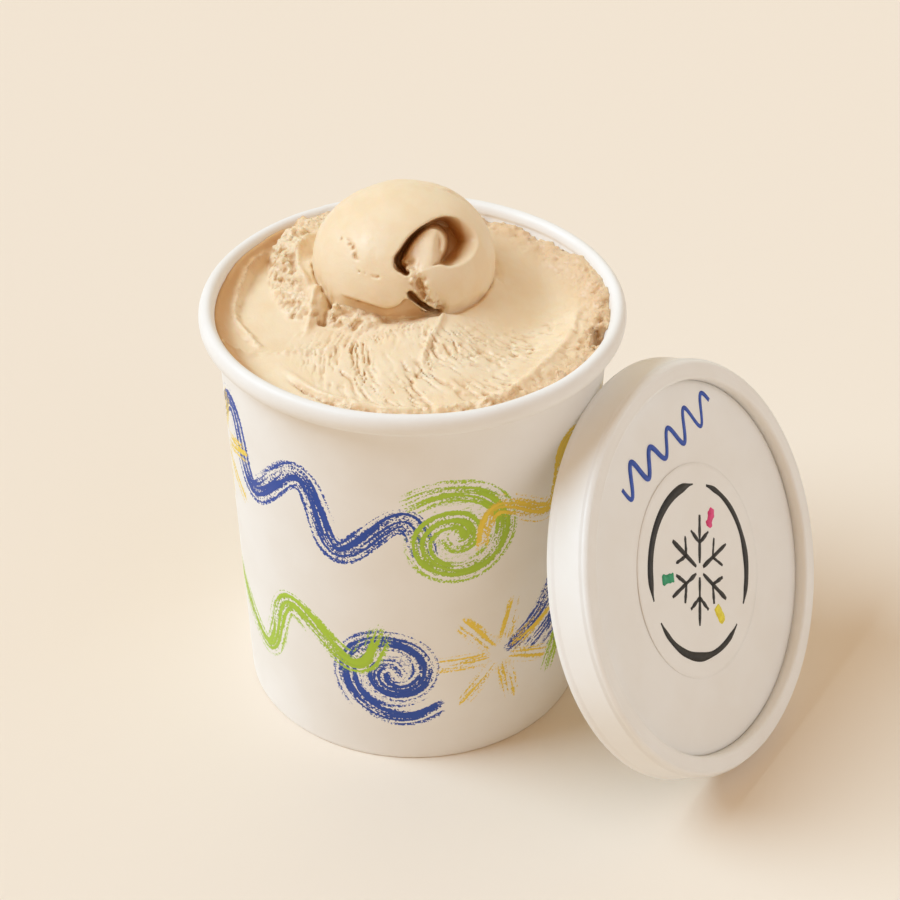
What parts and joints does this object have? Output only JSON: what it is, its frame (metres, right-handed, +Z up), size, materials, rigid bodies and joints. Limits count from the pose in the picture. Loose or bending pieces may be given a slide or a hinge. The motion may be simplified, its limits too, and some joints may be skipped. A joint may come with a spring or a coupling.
{
  "type": "ice cream pint",
  "caption": "Open round paper pint cup of ice cream with a rolled scoop on top, and its flat paper lid leaning on edge against the cup.",
  "frame": {"origin": "on the standing surface, under the middle of the box round the cup and its leaning lid", "axes": "+Z up along the cup's axis, -Y towards the front that shows the lid's face, +X to the right of that front, the side that the lid leans on"},
  "size_m": [0.1438, 0.1166, 0.1197],
  "materials": {
    "cup_paper": "coated board, satin, with a crayon-like print",
    "lid_paper": "coated board, satin",
    "label_paper": "smooth sticker paper",
    "ice_cream": "moist frozen dairy surface, soft sheen, slightly translucent"
  },
  "bodies": {
    "root": {"cup_wall": "cup_paper", "cup_base": "cup_paper", "ice_cream": "ice_cream", "scoop": "ice_cream", "lid_band": "lid_paper", "lid_panel": "lid_paper", "lid_label": "label_paper"}
  },
  "joints": []
}
